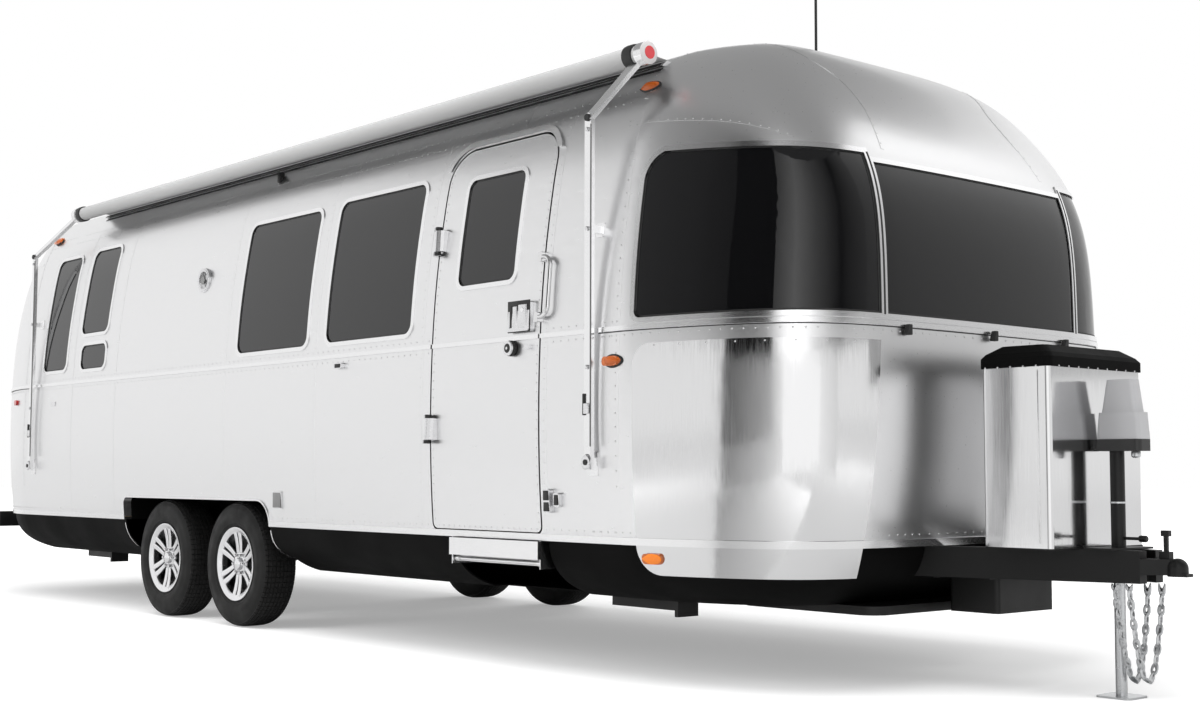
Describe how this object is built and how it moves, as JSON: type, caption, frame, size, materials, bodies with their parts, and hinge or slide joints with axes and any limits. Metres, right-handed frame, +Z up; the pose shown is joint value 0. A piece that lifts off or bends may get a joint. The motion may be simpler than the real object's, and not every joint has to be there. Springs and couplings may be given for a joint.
{
  "type": "travel caravan",
  "caption": "Rounded, riveted aluminium travel caravan with wrap-round front windows, side door, awning and gas cover, resting on two axles and a tongue jack.",
  "frame": {"origin": "on the ground, on the centreline, half way between the coupler tip and the rear bumper", "axes": "+X forward in the direction of travel, +Y to the left, +Z up"},
  "size_m": [9.04, 2.6273, 3.3],
  "materials": {
    "bright_aluminium": "satin clear-coated sheet, riveted",
    "trim_aluminium": "anodised extrusion",
    "polished_steel": "mirror-polished stainless sheet",
    "black_plastic": "grained black plastic",
    "chassis_black": "black powder coat",
    "zinc": "bright zinc plating",
    "fitting_metal": "brushed cast fittings",
    "grey_plastic": "light grey moulded plastic",
    "roof_white": "off-white moulded plastic",
    "tinted_glass": "dark tint",
    "tyre_rubber": "black rubber",
    "alloy": "bright cast alloy",
    "lens": "amber and red lenses",
    "white_steel": "white enamel",
    "awning_cloth": "grey acrylic cloth",
    "deck_wood": "oiled veneer",
    "upholstery": "woven upholstery"
  },
  "bodies": {
    "trailer": {"assist_handle": "polished_steel", "awning_arms": "trim_aluminium", "awning_flap": "awning_cloth", "awning_roller": "trim_aluminium", "axles": "chassis_black", "bed": "upholstery", "belly_pan_front": "black_plastic", "belly_pan_rear": "black_plastic", "body_trim": "trim_aluminium", "cabin_glass": "tinted_glass", "cabinets": "deck_wood", "chassis_rails": "chassis_black", "corner_guards": "polished_steel", "corner_jacks": "chassis_black", "coupler": "chassis_black", "door_hinge_brackets": "fitting_metal", "floor_deck": "deck_wood", "front_cap_lower": "bright_aluminium", "front_cap_upper": "bright_aluminium", "front_glass": "tinted_glass", "front_sofa": "upholstery", "gas_bottles": "white_steel", "gas_cover": "polished_steel", "gas_tray": "chassis_black", "jack_head": "grey_plastic", "jack_leg": "zinc", "jack_post": "chassis_black", "lamps": "lens", "rear_bumper": "chassis_black", "rear_cap_lower": "bright_aluminium", "rear_cap_upper": "bright_aluminium", "roof_equipment": "roof_white", "roof_panel": "bright_aluminium", "safety_chains": "zinc", "side_fittings": "fitting_metal", "step_frame": "trim_aluminium", "tongue_legs": "chassis_black", "underslung_boxes": "chassis_black", "wall_lower_left": "bright_aluminium", "wall_lower_right": "bright_aluminium", "wall_upper_left": "bright_aluminium", "wall_upper_right": "bright_aluminium", "wheel_housings": "black_plastic", "window_frames": "trim_aluminium"},
    "entry_door": {"door_panel": "bright_aluminium", "door_glass": "tinted_glass", "door_trim": "trim_aluminium", "door_hardware": "fitting_metal"},
    "gas_cover_lid": {"gas_lid": "black_plastic"},
    "entry_step": {"step_tread": "trim_aluminium"},
    "wheel_front_right": {"tyre_front_right": "tyre_rubber", "rim_front_right": "alloy"},
    "wheel_front_left": {"tyre_front_left": "tyre_rubber", "rim_front_left": "alloy"},
    "wheel_rear_right": {"tyre_rear_right": "tyre_rubber", "rim_rear_right": "alloy"},
    "wheel_rear_left": {"tyre_rear_left": "tyre_rubber", "rim_rear_left": "alloy"}
  },
  "joints": [
    {"name": "door_swing", "type": "hinge", "parent": "trailer", "child": "entry_door", "pos_m": [1.424, -1.28476, 1.5], "axis": [0, -0.0586, -0.9983], "range_deg": [0, 165]},
    {"name": "gas_lid_lift", "type": "hinge", "parent": "trailer", "child": "gas_cover_lid", "pos_m": [3.813, 0, 1.275], "axis": [0, -1, 0], "range_deg": [0, 80]},
    {"name": "step_fold", "type": "hinge", "parent": "trailer", "child": "entry_step", "pos_m": [1.9, -1.25, 0.47], "axis": [-1, 0, 0], "range_deg": [0, 170]},
    {"name": "wheel_spin_front_right", "type": "hinge", "parent": "trailer", "child": "wheel_front_right", "pos_m": [-0.556, -1.129, 0.35], "axis": [0, 1, 0], "continuous": true},
    {"name": "wheel_spin_front_left", "type": "hinge", "parent": "trailer", "child": "wheel_front_left", "pos_m": [-0.556, 1.129, 0.35], "axis": [0, 1, 0], "continuous": true},
    {"name": "wheel_spin_rear_right", "type": "hinge", "parent": "trailer", "child": "wheel_rear_right", "pos_m": [-1.424, -1.129, 0.35], "axis": [0, 1, 0], "continuous": true},
    {"name": "wheel_spin_rear_left", "type": "hinge", "parent": "trailer", "child": "wheel_rear_left", "pos_m": [-1.424, 1.129, 0.35], "axis": [0, 1, 0], "continuous": true}
  ]
}
